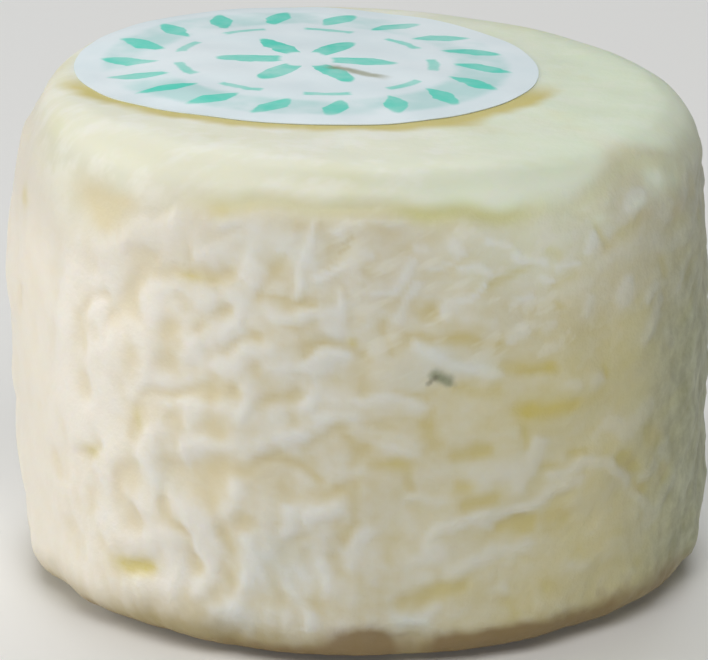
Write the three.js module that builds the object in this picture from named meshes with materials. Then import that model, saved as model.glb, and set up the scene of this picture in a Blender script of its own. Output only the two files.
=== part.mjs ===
// A small ripened goat's cheese: a squat drum with a wrinkled rind and a smooth, slightly domed cap,
// and a round paper label that lies off centre on the cap.
// Millimetres, +Z up. The drum stands on its flat foot at z = 0, with its axis on Z.
// Angles round the drum are counted from +X towards +Y, so 270 degrees faces -Y, the shown side.
import * as THREE from "three";

const degree = Math.PI / 180;
const quarterTurn = Math.PI / 2;
const fullTurn = 2 * Math.PI;

// Driving dimensions of the drum, before the rind's relief. The foot's rounding is a quarter ellipse,
// and the shoulder's is fuller: its power would be 2 for an ellipse.
const drum = {
  height: 43.3,
  footRadius: 29.0,
  shoulderRadius: 29.3,
  bulge: 0.85,
  footRound: { width: 6.3, rise: 3.1 },
  shoulderRound: { width: 8.0, rise: 5.6, power: 4.0 },
  dome: 0.4,
  capTilt: 2.5 * degree,
};

// The paper label: its gap is the air under it, and its lift is where the front edge has come loose.
const label = {
  radius: 20,
  thickness: 0.16,
  centre: { x: -4.6, y: 4.2 },
  gap: 0.16,
  lift: 0.25,
  liftHeading: 285 * degree,
  liftFrom: 0.6,
};

// The rind's relief. Lengths are from crest to crest, heights and depths are along the surface normal.
const crease = { level: 39.8, waver: 0.55, waves: 4, heading: 265 * degree, depth: 0.45, halfWidth: 0.8 };
// The crease is pressed in between these angles and fades out past them, where the cap runs on.
const creaseSpans = [
  { from: 242 * degree, to: 302 * degree },
  { from: 20 * degree, to: 150 * degree },
];
const creaseFade = 9 * degree;
// The smooth cap reaches down the wall here, and the wall is smoother farther to the left.
const skirt = { heading: 217 * degree, halfWidth: 13 * degree, drop: 4.0 };
const calmWall = { heading: 190 * degree, halfWidth: 19 * degree, share: 0.7 };
const folds = {
  height: 0.27,
  heightLeft: 0.15,
  heightRight: -0.3,
  sharpness: 1.4,
  fullness: 0.44,
  sway: { height: 2.6, heading: 40 * degree },
  fade: 1.8,
};
const ringFolds = { length: 3.4, heading: quarterTurn, fan: 0.6, count: 15, seed: 2 };
const uprightFolds = { length: 4.0, heading: 0.05, fan: 0.7, count: 15, seed: 9 };
// The wall's left and right parts, in degrees from the middle of the shown side, and its low part.
const front = 270 * degree;
const leftPart = { from: -42, to: 6 };
const rightPart = { from: -12, to: 36 };
const lowPart = { from: 8, to: 18 };
// How much of each kind of fold there is in front, and what the left, right and low parts add to it.
const ringShare = { front: 1, left: -0.45 };
const uprightShare = { front: 0.45, left: 0.75, right: -0.25, low: 0.5 };
const lumps = { height: 0.16, length: 8.5, seed: 41, foldGain: 0.3, foldBase: 0.8 };
const drift = { length: 12, sideways: 0.021, sidewaysSeed: 31, upwards: 0.54, upwardsSeed: 36 };
const footWaver = { width: 0.7, length: 26, seed: 71 };

// Swellings (out is positive) and hollows (negative), with their places and half sizes.
const swells = [
  { turn: 180, level: 40.8, out: -1.25, wide: 16, tall: 3.2 },
  { turn: 183, level: 26.5, out: 0.6, wide: 8, tall: 4.5 },
  { turn: 2, level: 6.0, out: 0.7, wide: 14, tall: 5.0 },
  { turn: 221.5, level: 37.2, out: -0.6, wide: 3.4, tall: 2.2 },
  { turn: 229, level: 7.4, out: -0.4, wide: 2.0, tall: 1.2 },
  { turn: 277, level: 2.6, out: -0.9, wide: 3.4, tall: 1.3 },
  { turn: 248, level: 2.4, out: -0.5, wide: 2.4, tall: 1.2 },
  { turn: 301.5, level: 39.8, out: 0.2, wide: 1.6, tall: 1.1 },
  { turn: 313, level: 38.6, out: 0.28, wide: 2.0, tall: 1.4 },
  { turn: 323, level: 38.4, out: 0.32, wide: 1.9, tall: 1.5 },
  { turn: 333, level: 37.2, out: 0.3, wide: 2.0, tall: 1.5 },
  { turn: 338, level: 33.5, out: 0.3, wide: 1.8, tall: 2.0 },
];

// Facets: columns round the drum, which halve from ring to ring on the cap, and rows up each stretch.
const columns = 144;
const rows = { foot: 4, wall: 26, shoulder: 7 };
const capRings = [0.79, 0.54, 0.28];
const labelColumns = 56;
const labelRings = [0.3, 0.55, 0.72, 0.8, 0.86, 0.91, 0.955, 1];

const wallBottom = drum.footRound.rise;
const wallTop = drum.height - drum.shoulderRound.rise;
const capRadius = drum.shoulderRadius - drum.shoulderRound.width;
const reliefFadeIn = 0.72 * capRadius;

const step = (from, to, value) => THREE.MathUtils.smoothstep(value, from, to);
const fall = (from, to, value) => 1 - step(from, to, value);
const bell = (offset, halfSize) => Math.exp(-((offset / halfSize) ** 2));

// The shorter way round from one angle to another, from minus to plus half a turn.
function turnBetween(from, to) {
  const away = to - from;
  return away - fullTurn * Math.round(away / fullTurn);
}

// A fixed draw between 0 and 1 for a whole number and a seed.
function draw(index, seed) {
  const value = Math.sin(index * 12.9898 + seed * 78.233) * 43758.5453;
  return value - Math.floor(value);
}

// A field of ripples, about -1 to 1: waves of nearly one length, fanned out about a heading.
// Heading 0 gives upright crests, and a quarter turn gives crests that run round the drum.
// Each wave fits the girth a whole number of times, so the field closes on itself.
function ripples(turn, level, { length, heading, fan, count, seed }) {
  const unevenness = 0.3;
  let sum = 0;
  for (let i = 0; i < count; i += 1) {
    const angle = heading + fan * ((2 * i + 1) / count - 1);
    const pace = (fullTurn / length) * (1 + unevenness * (2 * draw(i, seed) - 1));
    const timesRound = Math.round(pace * Math.cos(angle) * drum.shoulderRadius);
    sum += Math.cos(timesRound * turn + pace * Math.sin(angle) * level + fullTurn * draw(i, seed + 5));
  }
  return sum / Math.sqrt(count);
}

// Ripples that run every way.
function everyWay(length, seed) {
  return { length, heading: quarterTurn / 2, fan: quarterTurn, count: 11, seed };
}

// The folds: ring-like and upright ripples, mixed by where on the wall they lie, with blunt crests.
function foldHeight(turn, level) {
  const toFront = turnBetween(front, turn) / degree;
  const left = fall(leftPart.from, leftPart.to, toFront);
  const right = step(rightPart.from, rightPart.to, toFront);
  const low = fall(lowPart.from, lowPart.to, level);
  const sideways = drift.sideways * ripples(turn, level, everyWay(drift.length, drift.sidewaysSeed));
  const upwards = drift.upwards * ripples(turn, level, everyWay(drift.length, drift.upwardsSeed));
  const sway = folds.sway.height * Math.sin(2 * (turn + sideways) + folds.sway.heading);
  const ringLike = ripples(turn + sideways, level + upwards - sway, ringFolds);
  const upright = ripples(turn + sideways, level + upwards, uprightFolds);
  const rings = ringShare.front + ringShare.left * left;
  const uprights =
    uprightShare.front + uprightShare.left * left + uprightShare.right * right + uprightShare.low * low;
  const mixed = (rings * ringLike + uprights * upright) / Math.hypot(rings, uprights);
  const blunt = Math.tanh(folds.sharpness * mixed + folds.fullness);
  const calm = 1 - calmWall.share * bell(turnBetween(calmWall.heading, turn), calmWall.halfWidth);
  return calm * folds.height * (1 + folds.heightLeft * left + folds.heightRight * right) * blunt;
}

function creaseLevel(turn) {
  const dropped = skirt.drop * bell(turnBetween(skirt.heading, turn), skirt.halfWidth);
  return crease.level + crease.waver * Math.cos(crease.waves * (turn - crease.heading)) - dropped;
}

function creaseDepth(turn) {
  let share = 0;
  for (const { from, to } of creaseSpans) {
    const halfSpan = (to - from) / 2;
    const away = Math.abs(turnBetween((from + to) / 2, turn));
    share += fall(halfSpan - creaseFade, halfSpan + creaseFade, away);
  }
  return crease.depth * share;
}

function swellHeight(turn, level) {
  let out = 0;
  for (const swell of swells) {
    const aside = turnBetween(swell.turn * degree, turn) * drum.shoulderRadius;
    out += swell.out * bell(aside, swell.wide) * bell(level - swell.level, swell.tall);
  }
  return out;
}

// How far the rind stands out from the bare drum, along the normal.
function relief(turn, level) {
  const belowCrease = creaseLevel(turn) - level;
  const onWall = step(0, folds.fade, belowCrease) * step(0, folds.fade, level);
  const broad = ripples(turn, level, everyWay(lumps.length, lumps.seed));
  const gain = lumps.foldBase + lumps.foldGain * Math.tanh(broad);
  const wrinkled = gain * foldHeight(turn, level) + lumps.height * broad;
  const groove = creaseDepth(turn) * bell(belowCrease, crease.halfWidth);
  return onWall * wrinkled - groove + swellHeight(turn, level);
}

// The bare profile, as a radius, a level and the outward normal, for each stretch from the foot up.
function footAt(share, turn) {
  const { width, rise } = drum.footRound;
  const wavered = width + footWaver.width * ripples(turn, 0, everyWay(footWaver.length, footWaver.seed));
  const angle = share * quarterTurn;
  return {
    radius: drum.footRadius - wavered * (1 - Math.sin(angle)),
    level: rise * (1 - Math.cos(angle)),
    normal: new THREE.Vector2(Math.sin(angle) / wavered, -Math.cos(angle) / rise).normalize(),
  };
}

function wallAt(share) {
  const taper = drum.shoulderRadius - drum.footRadius;
  return {
    radius: drum.footRadius + taper * share + drum.bulge * Math.sin(Math.PI * share),
    level: THREE.MathUtils.lerp(wallBottom, wallTop, share),
    normal: new THREE.Vector2(1, 0),
  };
}

function shoulderAt(share) {
  const { width, rise, power } = drum.shoulderRound;
  const climb = Math.sin(share * quarterTurn);
  const reach = Math.max(0, 1 - climb ** 2) ** (1 / power);
  return {
    radius: capRadius + width * reach,
    level: wallTop + rise * climb,
    normal: new THREE.Vector2((power * reach ** (power - 1)) / width, (2 * climb) / rise).normalize(),
  };
}

function capAt(radius) {
  return {
    radius,
    level: drum.height + drum.dome * (1 - (radius / capRadius) ** 2),
    normal: new THREE.Vector2(0, 1),
  };
}

// The cap leans: the higher a point is, the more it sinks towards +X and rises towards -X.
function leaning(x, level) {
  return level - Math.tan(drum.capTilt) * x * (level / drum.height) ** 2;
}

// A point of the rind, from a point of the bare profile.
function rindPoint(turn, { radius, level, normal }, share = 1) {
  const out = share * relief(turn, level);
  const reach = radius + out * normal.x;
  const x = reach * Math.cos(turn);
  const y = reach * Math.sin(turn);
  return new THREE.Vector3(x, y, Math.max(0, leaning(x, level + out * normal.y)));
}

// The height of the cap and of the shoulder's upper part over a point of the plan.
function capHeight(x, y) {
  const radius = Math.hypot(x, y);
  const { width, power } = drum.shoulderRound;
  const reach = Math.max(0, (radius - capRadius) / width);
  const place = reach > 0 ? shoulderAt(Math.acos(reach ** (power / 2)) / quarterTurn) : capAt(radius);
  const out = step(reliefFadeIn, capRadius, radius) * relief(Math.atan2(y, x), place.level);
  return leaning(x, place.level + out / place.normal.y);
}

// A closed skin from rings of points, all seen from outside and each going round the same way.
// A ring has as many points as the one before it, or half as many. Odd rings may lag half a column.
class Skin {
  constructor() {
    this.points = [];
    this.triangles = [];
  }

  add(point) {
    return this.points.push(point) - 1;
  }

  ring(count, pointAt, lag = 0) {
    const ids = [];
    for (let k = 0; k < count; k += 1) {
      ids.push(this.add(pointAt(((k + lag) * fullTurn) / count)));
    }
    return ids;
  }

  band(lower, upper, upperLags) {
    const count = lower.length;
    for (let k = 0; k < count; k += 1) {
      const next = (k + 1) % count;
      if (upperLags) {
        this.triangles.push(lower[k], lower[next], upper[k]);
        this.triangles.push(lower[next], upper[next], upper[k]);
      } else {
        this.triangles.push(lower[k], lower[next], upper[next]);
        this.triangles.push(lower[k], upper[next], upper[k]);
      }
    }
  }

  halvingBand(lower, upper) {
    const count = upper.length;
    for (let k = 0; k < count; k += 1) {
      const next = (k + 1) % count;
      const between = 2 * k + 1;
      const after = (2 * k + 2) % lower.length;
      this.triangles.push(lower[2 * k], lower[between], upper[k]);
      this.triangles.push(lower[between], upper[next], upper[k]);
      this.triangles.push(lower[between], lower[after], upper[next]);
    }
  }

  close(ring, point, upwards) {
    const tip = this.add(point);
    ring.forEach((id, k) => {
      const next = ring[(k + 1) % ring.length];
      this.triangles.push(upwards ? id : next, upwards ? next : id, tip);
    });
  }

  geometry() {
    const geometry = new THREE.BufferGeometry().setFromPoints(this.points);
    geometry.setIndex(this.triangles);
    geometry.computeVertexNormals();
    return geometry;
  }
}

function makeCheese() {
  const profile = [];
  for (let row = 0; row < rows.foot; row += 1) {
    profile.push((turn) => footAt(row / rows.foot, turn));
  }
  for (let row = 0; row < rows.wall; row += 1) {
    profile.push(() => wallAt(row / rows.wall));
  }
  for (let row = 0; row <= rows.shoulder; row += 1) {
    profile.push(() => shoulderAt(row / rows.shoulder));
  }

  const skin = new Skin();
  let ring;
  profile.forEach((placeAt, row) => {
    const lags = row % 2 === 1;
    const above = skin.ring(columns, (turn) => rindPoint(turn, placeAt(turn)), lags ? 0.5 : 0);
    if (ring) {
      skin.band(ring, above, lags);
    } else {
      skin.close(above, new THREE.Vector3(0, 0, 0), false);
    }
    ring = above;
  });

  for (const share of capRings) {
    const radius = share * capRadius;
    const inward = skin.ring(ring.length / 2, (turn) => {
      return rindPoint(turn, capAt(radius), step(reliefFadeIn, capRadius, radius));
    });
    skin.halvingBand(ring, inward);
    ring = inward;
  }
  skin.close(ring, new THREE.Vector3(0, 0, capAt(0).level), true);
  return skin.geometry();
}

// The label follows the cap, bends over the shoulder at its back, and lifts at its front edge.
function labelPoint(turn, share, above) {
  const x = label.centre.x + label.radius * share * Math.cos(turn);
  const y = label.centre.y + label.radius * share * Math.sin(turn);
  const towardsLift = Math.max(0, Math.cos(turn - label.liftHeading)) ** 2;
  const lift = label.lift * towardsLift * step(label.liftFrom, 1, share);
  return new THREE.Vector3(x, y, capHeight(x, y) + label.gap + lift + above);
}

function makeLabel() {
  const skin = new Skin();
  const face = (share, above) => skin.ring(labelColumns, (turn) => labelPoint(turn, share, above));
  const under = labelRings.map((share) => face(share, 0));
  const upper = labelRings.map((share) => face(share, label.thickness));
  for (let i = 1; i < labelRings.length; i += 1) {
    skin.band(under[i - 1], under[i], false);
    skin.band(upper[i], upper[i - 1], false);
  }
  skin.band(under.at(-1), upper.at(-1), false);
  skin.close(under[0], labelPoint(0, 0, 0), false);
  skin.close(upper[0], labelPoint(0, 0, label.thickness), true);
  return skin.geometry();
}

const rind = new THREE.MeshStandardMaterial({ color: 0xded6bf, roughness: 0.72, metalness: 0 });
const paper = new THREE.MeshStandardMaterial({ color: 0xd3e2e8, roughness: 0.55, metalness: 0 });

const cheese = new THREE.Mesh(makeCheese(), rind);
cheese.name = "cheese";

const paperLabel = new THREE.Mesh(makeLabel(), paper);
paperLabel.name = "paper_label";

const crottin = new THREE.Group();
crottin.add(cheese, paperLabel);

export default crottin;
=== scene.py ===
import math

import bpy
import numpy as np
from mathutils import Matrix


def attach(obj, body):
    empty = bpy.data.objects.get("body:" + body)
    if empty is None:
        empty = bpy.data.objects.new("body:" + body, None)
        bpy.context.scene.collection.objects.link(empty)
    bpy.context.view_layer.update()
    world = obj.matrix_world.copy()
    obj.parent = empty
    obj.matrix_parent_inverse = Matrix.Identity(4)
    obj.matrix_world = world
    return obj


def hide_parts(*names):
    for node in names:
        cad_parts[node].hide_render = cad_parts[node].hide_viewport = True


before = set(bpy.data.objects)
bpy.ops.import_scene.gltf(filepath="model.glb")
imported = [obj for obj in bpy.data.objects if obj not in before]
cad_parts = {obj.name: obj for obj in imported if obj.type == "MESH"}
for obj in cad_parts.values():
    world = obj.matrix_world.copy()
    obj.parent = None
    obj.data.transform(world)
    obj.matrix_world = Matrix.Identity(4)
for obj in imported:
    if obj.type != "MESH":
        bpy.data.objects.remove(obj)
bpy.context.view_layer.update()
mm = 0.001
print("frame loaded:", sorted(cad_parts))


# Angles round the drum run from +X towards +Y: 180 is the left, 270 the shown front, 0 the right.
drum = {
    "height": 43.3,
    "footRadius": 29.0,
    "shoulderRadius": 29.3,
    "bulge": 0.85,           # swelling of the wall, halfway up
    "footWidth": 6.3,        # rounding at the foot
    "footRise": 3.1,
    "shoulderWidth": 8.0,    # rounding under the cap
    "shoulderRise": 5.6,
    "shoulderPower": 4.0,    # 2 is an ellipse, more is fuller
    "dome": 0.4,
    "capTilt": 2.5,          # degrees, down towards +X
    "footRings": (11, 19),   # mm from the axis
    "footSteps": 4,
    "wallSteps": 23,
    "shoulderSteps": 9,
    "capRings": (0.8, 0.55, 0.28, 0),    # of the cap's radius
    "spinSteps": 144,
    "subdivisions": 2,
    "weld": 0.01,
}

rind = {
    "frontHeading": 270,
    "leftSpan": (-42, 6),    # degrees from the front, over which the left's kind of fold gives way
    "rightSpan": (-12, 36),  # and over which the right's sets in
    "behindSpan": (100, 178),    # the two blend into each other at the back
    "lowSpan": (8, 18),      # mm up, over which the foot's kind of fold gives way
    "creaseLevel": 39.8,     # where the smooth cap ends
    "creaseWaver": 0.55,
    "creaseHeading": 265,
    "creaseNibble": 0.18,    # its smaller wavering
    "nibbleLength": 6.5,
    "creaseDepth": 0.34,
    "creaseHalfWidth": 0.8,
    "creaseSpans": [(242, 302), (20, 150)],    # degrees; the cap runs on without a crease elsewhere
    "creaseFade": 9,
    "yellowSpan": (276, 300),    # its colour is strongest here
    "yellowFade": 4,
    "yellowElsewhere": 0.45,
    "yellowBelow": 0.1,
    "yellowHalfWidth": 0.8,
    "capEdge": (-1.2, 0.6),  # mm below the crease, over which the cap's skin ends
    "capBlur": 2.6,
    "capReliefFrom": 0.72,   # of the cap's radius
    "skirtHeading": 217,     # the smooth cap reaches down here, to the left
    "skirtHalfWidth": 13,
    "skirtDrop": 4.0,
    "climbHeading": 322,     # its edge climbs here, to the right, over a soft fold
    "climbHalfWidth": 14,
    "climbRise": 3.0,
    "lipSpan": (304, 338),
    "lipFade": 6,
    "lipDepth": 0.16,
    "lipBelow": 0.9,
    "lipHalfWidth": 0.9,
    "foldHeight": 0.17,
    "foldMiddle": 0.52,      # share of the crest's colour at no height
    "foldRange": 0.55,       # mm from the fold's colour to the crest's
    "ringLength": 3.4,       # crest to crest, folds that run round
    "uprightLength": 4.0,    # crest to crest, folds that stand up
    "sharpness": 1.4,
    "fullness": 0.44,
    "sway": 2.6,
    "swayHeading": 40,
    "fade": 1.8,             # folds die out over this, at the crease and the foot
    "lumpHeight": 0.14,
    "lumpLength": 8.5,
    "driftLength": 12.0,
    "driftSideways": 0.021,
    "driftUpwards": 0.54,
    "smoothHeading": 190,    # the wall is smoother here, to the far left
    "smoothHalfWidth": 19,
    "smoothShare": 0.85,
    "footWaver": 0.7,
    "footWaverLength": 26.0,
    "footWaverSpan": (15, 22),   # mm from the axis
}

# Swellings and hollows: place in degrees and mm, how far out, half width and half height.
swells = [
    (180, 40.8, -1.25, 16, 3.2), (183, 26.5, 0.6, 8, 4.5), (2, 6, 0.7, 14, 5),
    (221.5, 37.2, -0.6, 3.4, 2.2), (229, 7.4, -0.4, 2, 1.2), (277, 2.6, -0.9, 3.4, 1.3),
    (248, 2.4, -0.5, 2.4, 1.2), (301.5, 39.8, 0.2, 1.6, 1.1), (313, 38.6, 0.28, 2, 1.4),
    (323, 38.4, 0.22, 2.2, 1.3), (333, 37.2, 0.3, 2, 1.5), (338, 33.5, 0.3, 1.8, 2),
]

# Ridges and grooves of the shown side, pressed in one by one: strength, half width in mm,
# then the places that each runs through, in degrees round the drum and mm above the foot.
strokes = {
    "ridgeHeight": 0.22,
    "grooveDepth": 0.2,
    "wobble": 0.22,
    "wobbleLength": 3.6,
    "shownFrom": 196,        # in this span the other folds give way to the strokes
    "shownTo": 328,
    "shownFade": 10,
    "foldsLeft": 0.3,
    "height": 0.75,          # share at the right
    "higherLeft": 0.45,
    "widerLeft": 0.2,
    "slimmerRight": 0.15,
    "slimmerUpperRight": 0.15,
    "upperSpan": (26, 33),
}

ridges = [
    # upper left, between the hollow and the long upright ridge
    (1, 0.7, (238.8, 37.8), (237, 36.5), (234.3, 35.8)),
    (1.3, 0.7, (232.2, 36.8), (229.4, 35.4), (226.8, 34), (223.5, 33.5)),
    (1, 0.6, (235.5, 32.3), (238, 32.2), (239.5, 32.6)),
    (0.7, 0.8, (235.3, 31), (235.2, 29), (235, 26.5), (233.5, 24), (231.5, 22.6)),
    (0.7, 0.5, (244, 35.4), (247.5, 36.1), (250, 36.8)), (0.9, 0.6, (247.6, 38.2), (249.4, 38.5)),
    (0.6, 0.8, (242.3, 31.9), (245.5, 32), (248.5, 32.2)),
    (0.9, 0.8, (249, 29.3), (245, 28.3), (242.5, 27.6)), (0.6, 0.6, (249, 26.9), (246, 26.4)),
    (0.4, 0.5, (237.2, 24.3), (240, 24.6), (244.5, 24.9)),
    (0.4, 0.6, (236, 21.9), (239.8, 22.3), (244.5, 23)),
    (0.9, 0.7, (216.6, 31), (215, 29.2), (214.6, 27.5), (214.8, 25)),
    (0.8, 0.7, (223.6, 28.7), (222, 28)), (0.8, 1.2, (223.9, 21), (222.5, 19.6)),
    (0.8, 0.9, (219, 17.4), (217.5, 17)),
    (0.7, 1.2, (225.2, 27), (223.7, 24.7), (223.2, 22.6), (222.7, 20.6)),
    (0.6, 1, (227.5, 32.6), (225.5, 31.2), (223, 30.6)),
    (0.6, 1.1, (214.6, 26), (213.8, 23), (214, 20.5)),
    # lower left, with the upright fingers near the foot
    (0.9, 0.7, (234, 19.3), (233, 17.8), (234.5, 16.1)), (1, 1, (231.2, 13.5), (232, 13.3)),
    (0.8, 0.9, (250.3, 16.4), (249.4, 15.3), (248.4, 14.5)),
    (0.7, 0.7, (240.3, 13.6), (241.5, 12.7), (243.6, 11.9)),
    (0.8, 0.8, (244.4, 10.8), (244.6, 8.5), (243.6, 6.5)),
    (1, 1, (232, 9.9), (236, 10.6), (238.5, 10.2), (238.7, 7.8), (237, 5.5)),
    (0.9, 0.9, (233, 5.9), (230.8, 4.6)), (0.9, 0.8, (245.5, 4), (249, 5.4)),
    (0.5, 1.2, (217, 17.9), (218.5, 17.4)), (0.6, 1.3, (225, 10.6), (226, 10.3)),
    (0.6, 1, (225.8, 17), (224.8, 15.4)),
    # upper middle
    (0.75, 0.7, (253.3, 36.3), (253, 35.2), (252, 34.1), (250.9, 33), (250.9, 31.4), (251, 29.9)),
    (0.9, 0.36, (262.9, 39.8), (262.3, 37.5), (261.6, 36.3)),
    (1, 0.38, (262.5, 35.8), (261, 35), (260.4, 34), (259.6, 32.7)),
    (1.1, 0.4, (267, 33), (266.8, 31.3), (266.1, 30.3)),
    (0.8, 0.5, (266.1, 30.3), (268.5, 30.3), (271.2, 30.5)),
    (0.6, 0.55, (256, 31), (259.8, 30.9), (263.4, 31.5), (265.2, 31.8)),
    (1.1, 0.5, (268, 28.1), (264.5, 27.8), (261.8, 27.1)),
    (1.1, 0.5, (263.6, 27.2), (263.2, 25.6), (262.4, 24.6), (261.2, 23.5)),
    (0.7, 0.7, (250.5, 26.8), (252.5, 27.6), (256, 28.3)),
    (0.6, 0.5, (256, 26.6), (258, 26.9), (260.3, 27)),
    (0.8, 0.7, (252.5, 24.5), (251.8, 23.6), (250.8, 22.4)),
    (1, 0.45, (264, 34.6), (266.5, 35.2), (269.4, 36.2), (271.6, 36.5)),
    (1, 0.4, (272.5, 33.4), (275, 33.6), (277, 34.6), (278.6, 35.9)),
    (0.9, 0.4, (276.2, 31.3), (277.1, 32.5), (279, 34)),
    (1, 0.45, (283.6, 31.6), (286.8, 32.8), (290, 33.7)),
    (1.3, 0.42, (278.2, 28.9), (281.1, 28.4), (284, 27.4), (288, 26.5), (293, 26)),
    (0.7, 0.5, (265, 24.9), (268, 24.6), (270.2, 24.2), (273, 24.5), (275.2, 24.2), (280, 23.5)),
    (0.6, 0.36, (266.5, 38.5), (268, 39.5)), (0.7, 0.36, (270.2, 38.9), (273, 39.5), (279, 39.5)),
    (0.6, 0.36, (281, 35.3), (282.5, 35.5), (286, 36.5)),
    # the long ridge across the middle, and below it
    (0.8, 0.75, (241.5, 18.9), (245.3, 19.3), (250.3, 19.5), (254, 19.9), (257.5, 20.4), (260, 21.1)),
    (0.9, 0.65, (260, 21.1), (262.5, 22.1), (265, 22.4), (268, 22.8)),
    (1, 0.6, (258.6, 14.2), (258.9, 12.8)), (1, 0.5, (261.8, 14), (263.6, 14.5), (266.5, 15)),
    (0.7, 0.8, (251.7, 11.3), (251.9, 9.5), (251.8, 8)),
    (1, 0.6, (264.4, 9.8), (264, 8.2), (264.2, 7.3)), (1.1, 0.5, (262, 4.9), (261.7, 3.8)),
    (0.8, 0.6, (271.5, 13), (269.4, 11.8), (268.4, 10.3)),
    (0.8, 0.6, (277.7, 15.4), (280.2, 15.5), (283, 15.7)),
    (1.3, 0.5, (281, 11.6), (283, 12.4), (285, 13.3), (287.5, 13.8), (291, 13.7), (296, 13.8)),
    (0.9, 0.8, (279, 10.6), (282.5, 10.9)), (0.8, 0.5, (290, 13.3), (291.4, 12.4)),
    (0.9, 0.8, (278, 8.6), (281, 8.6)), (1, 0.8, (284.5, 9), (287.5, 9.6), (290.8, 10)),
    (0.8, 1.2, (288.5, 17), (292, 17.6), (295, 17.2)),
    (0.7, 0.6, (276.2, 4.9), (279, 4.8), (282.4, 5.8)), (0.6, 0.5, (274, 20), (278.5, 19.8)),
    # upper right
    (0.9, 0.4, (290.5, 37.4), (294.5, 36.8)), (1.1, 0.45, (295.5, 36), (297.8, 35.4), (300.5, 35)),
    (0.8, 0.4, (285.2, 37.3), (287, 36.7)), (0.8, 0.4, (279, 37), (281, 37.1)),
    (0.8, 0.4, (303.5, 34.6), (307, 34.7)), (0.8, 0.4, (308.8, 35.5), (311.6, 36.5)),
    (1, 0.4, (286.3, 35.3), (289, 35.1), (291.4, 34.7)), (0.8, 0.4, (300, 33.7), (302.2, 33.6)),
    (0.9, 0.4, (295, 32), (298.5, 32.3)), (0.4, 0.6, (287, 30.9), (291, 30.5)),
    (1, 0.5, (294, 29), (296.6, 29.5)), (0.6, 0.4, (300.5, 29.4), (302, 29.6)),
    (0.5, 0.5, (308.5, 30.3), (309.5, 31.2)), (0.5, 0.4, (305, 38.8), (309, 39)),
    (1.2, 0.9, (317, 30.4), (318.3, 31.8)), (1.1, 0.6, (323.8, 29.8), (325.5, 30.4)),
    (0.8, 0.5, (304, 24.4), (306.2, 24)), (0.8, 0.5, (310, 24), (312.2, 24.3)),
    (0.7, 0.6, (329, 25.5), (331, 25)), (0.6, 0.8, (334, 29), (335.5, 30)),
    (0.9, 0.7, (319, 38.3), (323, 39)), (1.2, 0.6, (327, 29), (325, 27.6), (322.3, 26.4)),
    # lower right
    (1.1, 0.6, (297, 13.8), (301.5, 14.8), (306.5, 15.5)),
    (1.1, 0.5, (302.5, 16.2), (308, 17), (313.5, 16.3), (318, 14.3), (322, 12), (325, 10.3)),
    (1.1, 0.6, (295.8, 16), (298.3, 17.5), (299.5, 19.6)),
    (1.1, 0.7, (314, 19.6), (318, 18.8), (321.5, 19.2), (323.5, 20.4)),
    (0.5, 0.5, (311, 19), (313, 19.5)), (1.4, 0.6, (328, 15.3), (330.5, 15.9)),
    (1.1, 0.6, (322.5, 13.4), (325.8, 14.3)), (1.1, 0.8, (325.5, 9.4), (328.5, 10.4), (331.5, 11.8)),
    (0.5, 0.7, (306, 7.9), (309, 7.8)), (0.7, 0.7, (292.5, 10.2), (298, 10.4)),
    (0.5, 0.5, (293, 7), (294.5, 6.5)),
]

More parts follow.
